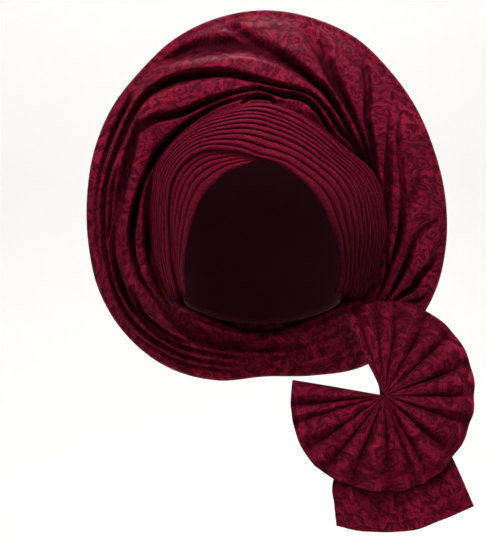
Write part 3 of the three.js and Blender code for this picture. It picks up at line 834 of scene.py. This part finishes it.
# In a Mix node the factor is input 0, numbers are 2 and 3, and colours are 6 and 7.
def damaskMaterial():
    material, tree = newMaterial("wine_rayon_damask")
    soft = {"interpolation_type": "SMOOTHSTEP"}
    place = addNode(tree, "TexCoord", {}, "UV")
    drift = addNode(tree, "TexNoise", {"Vector": place, "Scale": 1000 / damask["driftMm"], "Detail": 0},
                    "Color")
    nudge = addNode(tree, "VectorMath", {0: drift, 1: (damask["driftByMm"] * mm,) * 3, 2: place},
                    operation="MULTIPLY_ADD")
    repeat = {"Vector": nudge, "Scale": 1000 / damask["repeatMm"], "Randomness": damask["uneven"]}
    centre = addNode(tree, "TexVoronoi", repeat, "Position", voronoi_dimensions="2D")
    chance = addNode(tree, "TexVoronoi", repeat, "Color", voronoi_dimensions="2D")
    border = addNode(tree, "TexVoronoi", repeat, "Distance", voronoi_dimensions="2D",
                     feature="DISTANCE_TO_EDGE")
    turn = addNode(tree, "SeparateColor", {0: chance})
    inMetres = addNode(tree, "VectorMath", {0: nudge, 1: centre}, operation="SUBTRACT")
    local = addNode(tree, "VectorMath", {0: inMetres, "Scale": 1000}, operation="SCALE")
    out = addNode(tree, "VectorMath", {0: local}, "Value", operation="LENGTH")
    x = addNode(tree, "SeparateXYZ", {0: local}, 0)
    y = addNode(tree, "SeparateXYZ", {0: local}, 1)
    angle = addNode(tree, "Math", {0: y, 1: x}, operation="ARCTAN2")
    around = addNode(tree, "Math", {0: turn, 1: 2 * math.pi, 2: angle}, operation="MULTIPLY_ADD")

    # The rose: petals on a spiral, a little lobed.
    lobed = addNode(tree, "Math", {0: around, 1: damask["petalLobes"]}, operation="MULTIPLY")
    lobes = addNode(tree, "Math", {0: lobed}, operation="SINE")
    swell = addNode(tree, "Math", {0: lobes, 1: damask["lobeDepth"], 2: 1}, operation="MULTIPLY_ADD")
    petalled = addNode(tree, "Math", {0: out, 1: swell}, operation="MULTIPLY")
    rings = addNode(tree, "Math", {0: petalled, 1: 2 * math.pi / damask["petalMm"]}, operation="MULTIPLY")
    spiral = addNode(tree, "Math", {0: rings, 1: around}, operation="SUBTRACT")
    wound = addNode(tree, "Math", {0: spiral}, operation="SINE")
    petals = addNode(tree, "MapRange",
                     {"Value": wound, "From Min": 1, "From Max": -1, "To Min": 0.3, "To Max": 0.9})
    petalEdge = addNode(tree, "MapRange",
                        {"Value": wound, "From Min": 0.35, "From Max": 0.95, "To Max": 0.7})
    inside = damask["roseMm"] - damask["roseEdgeMm"]
    outside = damask["roseMm"] + damask["roseEdgeMm"]
    inRose = addNode(tree, "MapRange", {"Value": petalled, "From Min": outside, "From Max": inside}, **soft)

    # The leaves: arms that wind out from each rose, pinched here and there by a soft noise, with an
    # outline along their middle and veins beside it. Between the roses they run into tendrils.
    away = addNode(tree, "Math", {0: out, 1: math.e}, operation="LOGARITHM")
    wind = addNode(tree, "Math", {0: away, 1: damask["scrollWind"]}, operation="MULTIPLY")
    arms = addNode(tree, "Math", {0: around, 1: damask["scrolls"], 2: wind}, operation="MULTIPLY_ADD")
    leafy = addNode(tree, "TexNoise", {"Vector": place, "Scale": 1000 / damask["leafMm"], "Detail": 0})
    rough = addNode(tree, "Math", {0: leafy, 1: damask["leafBend"], 2: arms}, operation="MULTIPLY_ADD")
    armWave = addNode(tree, "Math", {0: rough}, operation="SINE")
    arm = addNode(tree, "MapRange", {"Value": armWave, "From Min": -0.45, "From Max": 0.55}, **soft)
    between = addNode(tree, "MapRange", {"Value": leafy, "From Min": 0.44, "From Max": 0.54}, **soft)
    within = addNode(tree, "MapRange", {"Value": border, "From Min": 0.03, "From Max": 0.16}, **soft)
    leaf = addNode(tree, "Mix", {0: within, 2: between, 3: arm})
    armOff = addNode(tree, "Math", {0: armWave}, operation="ABSOLUTE")
    armEdge = addNode(tree, "MapRange", {"Value": armOff, "From Min": 0.45, "From Max": 0, "To Max": 0.34})
    leafEdge = addNode(tree, "Math", {0: armEdge, 1: within}, operation="MULTIPLY")
    finer = addNode(tree, "Math", {0: rough, 1: 2}, operation="MULTIPLY")
    veinWave = addNode(tree, "Math", {0: finer}, operation="SINE")
    veins = addNode(tree, "MapRange", {"Value": veinWave, "From Min": 0.5, "To Max": 0.6})
    ownVeins = addNode(tree, "Math", {0: veins, 1: within}, operation="MULTIPLY")
    curl = addNode(tree, "TexNoise", {"Vector": place, "Scale": 1000 / damask["tendrilMm"], "Detail": 0})
    curls = addNode(tree, "Math", {0: curl, 1: damask["tendrilLines"]}, operation="MULTIPLY")
    curlWave = addNode(tree, "Math", {0: curls}, operation="SINE")
    tendrils = addNode(tree, "MapRange", {"Value": curlWave, "From Min": 0.6, "To Max": 0.4})
    leafLine = addNode(tree, "Math", {0: ownVeins, 1: tendrils}, operation="MAXIMUM")

    # Together, with a figure that fades where it is folded away, and a painted highlight on the satin in
    # patches.
    satin = addNode(tree, "Mix", {0: inRose, 2: leaf, 3: petals})
    line = addNode(tree, "Mix", {0: inRose, 2: leafLine, 3: 0.1})
    edge = addNode(tree, "Mix", {0: inRose, 2: leafEdge, 3: petalEdge})
    figure = addNode(tree, "Attribute", {}, "Fac", attribute_name="figure")
    shownSatin = addNode(tree, "Mix", {0: figure, 2: damask["plainSatin"], 3: satin})
    shownLine = addNode(tree, "Math", {0: line, 1: figure}, operation="MULTIPLY")
    shownVein = addNode(tree, "Math", {0: shownLine, 1: damask["veinShows"]}, operation="MULTIPLY")
    shownEdge = addNode(tree, "Math", {0: edge, 1: figure}, operation="MULTIPLY")
    patches = addNode(tree, "TexNoise", {"Vector": place, "Scale": 1000 / damask["patchMm"], "Detail": 1})
    caught = addNode(tree, "MapRange", {"Value": patches, "From Min": 0.5, "From Max": 0.66, "To Max": 0.8})
    caughtSatin = addNode(tree, "Math", {0: caught, 1: satin}, operation="MULTIPLY")
    gleam = addNode(tree, "Math", {0: caughtSatin, 1: figure}, operation="MULTIPLY")
    colour = linear(damask["ground"])
    layers = {"satin": shownSatin, "gleam": gleam, "outline": shownEdge, "vein": shownVein}
    for name, share in layers.items():
        colour = addNode(tree, "Mix", {0: share, 6: colour, 7: linear(damask[name])}, 2, data_type="RGBA")

    # Thread clusters that catch the light unevenly, painted as a random speckle, and painted shade down in
    # the folds.
    grain = addNode(tree, "TexNoise", {"Vector": place, "Scale": 1000 / damask["grainMm"], "Detail": 4,
                                       "Roughness": 0.7})
    speck = addNode(tree, "MapRange",
                    {"Value": grain, "From Min": 0.3, "From Max": 0.7, "To Min": 0.55, "To Max": 1.5})
    spun = addNode(tree, "VectorMath", {0: colour, "Scale": speck}, operation="SCALE")
    paintedShade = addNode(tree, "Attribute", {}, "Fac", attribute_name="paintedShade")
    colour = addNode(tree, "Mix", {0: paintedShade, 6: spun, 7: linear(damask["paintedFoldShade"])}, 2, data_type="RGBA")
    shownGloss = addNode(tree, "MapRange", {"Value": shownSatin, "To Min": damask["groundRoughness"],
                                            "To Max": damask["satinRoughness"]})
    gloss = addNode(tree, "Mix", {0: paintedShade, 2: shownGloss, 3: damask["foldRoughness"]})
    relief = addNode(tree, "Math", {0: shownLine, 1: 0.8, 2: grain}, operation="MULTIPLY_ADD")
    bump = addNode(tree, "Bump", {"Height": relief, "Strength": 0.35, "Distance": damask["reliefMm"] * mm})
    shader = addNode(tree, "BsdfPrincipled", {
        "Base Color": colour, "Roughness": gloss, "Normal": bump, "Specular IOR Level": damask["specular"],
        "Specular Tint": linear(damask["tint"]), "IOR": 1.5})
    addNode(tree, "OutputMaterial", {"Surface": shader}, None)
    return material


# Wrap lining: plain woven cotton on buckram. It shows as a dull, even, dark wine without any gleam.
lining = {
    "light": "#4a0f1c",
    "dark": "#330812",
    "weaveMm": 1.2,  # drawn coarse: the threads lie 0.4 mm apart
    "reliefMm": 0.3,
    "roughness": 0.85,
    "specular": 0.2,
}


def liningMaterial():
    material, tree = newMaterial("plain_cotton_lining")
    place = addNode(tree, "TexCoord", {}, "UV")
    threads = addNode(tree, "TexNoise", {"Vector": place, "Scale": 1000 / lining["weaveMm"], "Detail": 2})
    shades = {0: threads, 6: linear(lining["dark"]), 7: linear(lining["light"])}
    colour = addNode(tree, "Mix", shades, 2, data_type="RGBA")
    bump = addNode(tree, "Bump", {"Height": threads, "Strength": 0.4, "Distance": lining["reliefMm"] * mm})
    shader = addNode(tree, "BsdfPrincipled", {
        "Base Color": colour, "Normal": bump, "Roughness": lining["roughness"],
        "Specular IOR Level": lining["specular"]})
    addNode(tree, "OutputMaterial", {"Surface": shader}, None)
    return material


# A pale studio: a floor that turns up into a wall all round, under a dim pale sky. Here all is in metres.
studio = {
    "floorZ": -0.62,
    "floorRadius": 2.6,
    "wallRadius": 3.4,
    "wallTop": 3.0,
    "steps": 10,  # in the turn from the floor to the wall
    "paint": "#f4f3f1",
    "sky": "#f2f4f6",
    "skyStrength": 0.035,
}


def buildStudio():
    turn = studio["wallRadius"] - studio["floorRadius"]
    bpy.ops.object.select_all(action="DESELECT")
    bpy.ops.mesh.primitive_circle_add(vertices=96, radius=studio["floorRadius"], fill_type="NGON",
                                      location=(0, 0, studio["floorZ"]))
    floor = bpy.context.active_object
    floor.name = "pale_floor"
    bpy.ops.object.transform_apply(location=True)
    bpy.ops.object.mode_set(mode="EDIT")
    bpy.ops.mesh.select_mode(type="EDGE")
    bpy.ops.mesh.select_all(action="SELECT")
    angles = np.linspace(0, math.pi / 2, studio["steps"] + 1)
    radii = studio["floorRadius"] + turn * np.sin(angles)
    heights = turn * (1 - np.cos(angles))
    for i in range(studio["steps"]):
        rise = float(heights[i + 1] - heights[i])
        grow = float(radii[i + 1] / radii[i])
        bpy.ops.mesh.extrude_region_move(TRANSFORM_OT_translate={"value": (0, 0, rise)})
        bpy.ops.transform.resize(value=(grow, grow, 1))
    bpy.ops.mesh.extrude_region_move(TRANSFORM_OT_translate={"value": (0, 0, studio["wallTop"])})
    bpy.ops.mesh.select_all(action="SELECT")
    bpy.ops.mesh.normals_make_consistent(inside=True)
    bpy.ops.object.mode_set(mode="OBJECT")
    bpy.ops.object.shade_smooth()
    paint = bpy.data.materials.new("matt_wall_paint")
    paint.use_nodes = True
    shader = paint.node_tree.nodes["Principled BSDF"]
    shader.inputs["Base Color"].default_value = linear(studio["paint"])
    shader.inputs["Roughness"].default_value = 0.9
    floor.data.materials.append(paint)


# One large soft light above the front, a weak one from each side, one from behind, and a wide one that
# lights the wall behind the head tie.
lights = table(
    ["x", "y", "z", "aimX", "aimY", "aimZ", "size", "spread", "watts"],
    [
        [0.0, -0.7, 1.08, 0, 0, 0.12, 0.55, 110, 6.7],
        [1.5, -1.2, 0.3, 0, 0, -0.1, 1.0, 180, 1.2],
        [-1.5, -1.0, 0.3, 0, 0, -0.1, 1.0, 180, 1.0],
        [0.0, 0.9, 1.9, 0, 0, 0, 1.0, 180, 1.5],
        [0.0, 1.6, 2.4, 0, 3.4, -0.3, 2.0, 180, 62],
    ],
)


def addLights():
    for i in range(len(lights["x"])):
        row = {name: float(column[i]) for name, column in lights.items()}
        bpy.ops.object.light_add(type="AREA", location=(row["x"], row["y"], row["z"]))
        lamp = bpy.context.active_object
        lamp.name = f"soft_light_{i + 1}"
        lamp.data.shape = "DISK"
        lamp.data.size = row["size"]
        lamp.data.energy = row["watts"]
        lamp.data.spread = math.radians(row["spread"])
        aim = Vector((row["aimX"], row["aimY"], row["aimZ"])) - lamp.location
        lamp.rotation_mode = "QUATERNION"
        lamp.rotation_quaternion = aim.to_track_quat("-Z", "Y")
    sky = bpy.data.worlds.new("pale_sky")
    sky.use_nodes = True
    background = sky.node_tree.nodes["Background"]
    background.inputs["Color"].default_value = linear(studio["sky"])
    background.inputs["Strength"].default_value = studio["skyStrength"]
    bpy.context.scene.world = sky


# The camera stands level, straight in front.
view = {"x": -0.0176, "y": -1.385, "z": -0.126, "lens": 94.5, "sensor": 36}


def addCamera():
    bpy.ops.object.camera_add(location=(view["x"], view["y"], view["z"]), rotation=(math.pi / 2, 0, 0))
    camera = bpy.context.active_object
    camera.data.lens = view["lens"]
    camera.data.sensor_width = view["sensor"]
    bpy.context.scene.camera = camera


addCamera()
bpy.context.scene.view_settings.view_transform = "Standard"
wine = damaskMaterial(), "wine_damask"
plain = liningMaterial(), "wrap_lining"
print("camera and materials ready")

# Each sheet with its material and slot, the node it stands for, its flat cut (width, length and, where
# the cut isn't a rectangle, area) in metres, how it is held and on what.
sheetColumns = ["piece", "finish", "node", "flat", "area", "held", "restsOn"]
sheets = [
    [headWrap(), plain, "head_wrap", (0.42, 0.36), 0.09, "stretched", []],
    [pleatedBand("brow_pleats_under_set", brow["underFrom"], brow["underSteps"], underEdges, placeUnder),
     wine, "brow_pleats_under", (0.035, 0.24), None, "folded", ["head_wrap_lining"]],
    [pleatedBand("brow_pleats_over_set", 0, brow["overSteps"], overEdges, placeOver),
     wine, "brow_pleats_over", (0.11, 0.5), None, "folded",
     ["head_wrap_lining", "brow_pleats_under_set"]],
    [haloBack(), wine, "halo_back", (0.1, 1.0), None, "stretched", ["head_wrap_lining"]],
    [haloFront(), wine, "halo_front", (0.15, 1.0), None, "draped",
     ["head_wrap_lining", "halo_back_cover"]],
    [fanTail(), wine, "fan_tail", (0.15, 0.21), 0.024, "hung", ["halo_front_folds"]],
    [fanRosette(), wine, "fan_rosette", (0.09, 0.5), 0.032, "folded", ["fan_tail_sash"]],
]
for row in sheets:
    cloth = dict(zip(sheetColumns, row))
    piece = cloth["piece"]
    material, slot = cloth["finish"]
    piece.data.materials.clear()
    piece.data.materials.append(material)
    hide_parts(cloth["node"])
    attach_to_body(piece, "root")
print("cloth laid")

buildStudio()
addLights()
print("studio and lights ready")
